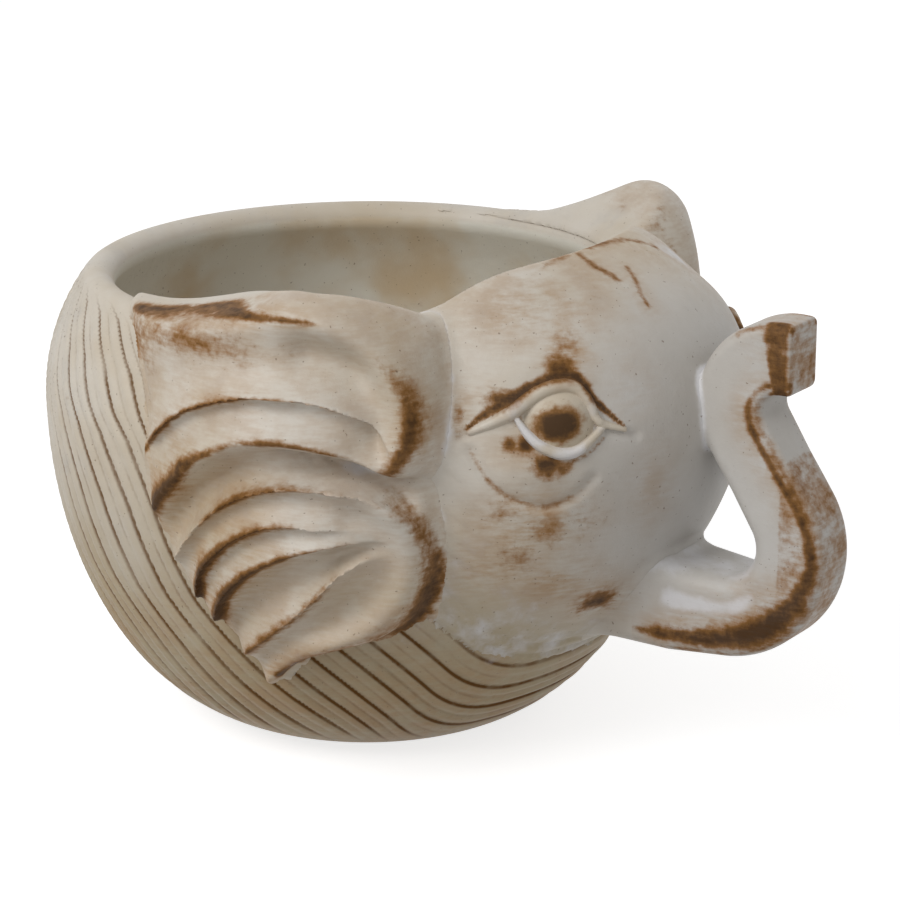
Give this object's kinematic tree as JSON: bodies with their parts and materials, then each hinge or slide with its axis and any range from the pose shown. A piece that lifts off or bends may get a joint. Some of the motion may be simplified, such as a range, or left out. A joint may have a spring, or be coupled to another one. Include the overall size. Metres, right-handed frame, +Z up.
{
  "type": "animal shaped planter",
  "caption": "Round clay planter shaped as an elephant's head: a bowl with a flat foot and a drain hole, fluted ears and a looped trunk, for a small plant.",
  "frame": {"origin": "centre of the flat foot, on the axis of the drain hole, at the surface that the planter stands on", "axes": "+Z up along the bowl's axis, +X the way the head faces, +Y to the elephant's left"},
  "size_m": [0.2716, 0.2266, 0.1641],
  "materials": {
    "washed_terracotta": "cream whitewash, brushed thin over brown-stained fired clay, with a faint sheen"
  },
  "bodies": {
    "root": {"bowl": "washed_terracotta", "head": "washed_terracotta", "trunk": "washed_terracotta", "right_ear_upper": "washed_terracotta", "right_ear_lower": "washed_terracotta", "left_ear_upper": "washed_terracotta", "left_ear_lower": "washed_terracotta", "right_eyeball": "washed_terracotta", "left_eyeball": "washed_terracotta", "right_upper_eyelid": "washed_terracotta", "right_lower_eyelid": "washed_terracotta", "left_upper_eyelid": "washed_terracotta", "left_lower_eyelid": "washed_terracotta"}
  },
  "joints": []
}
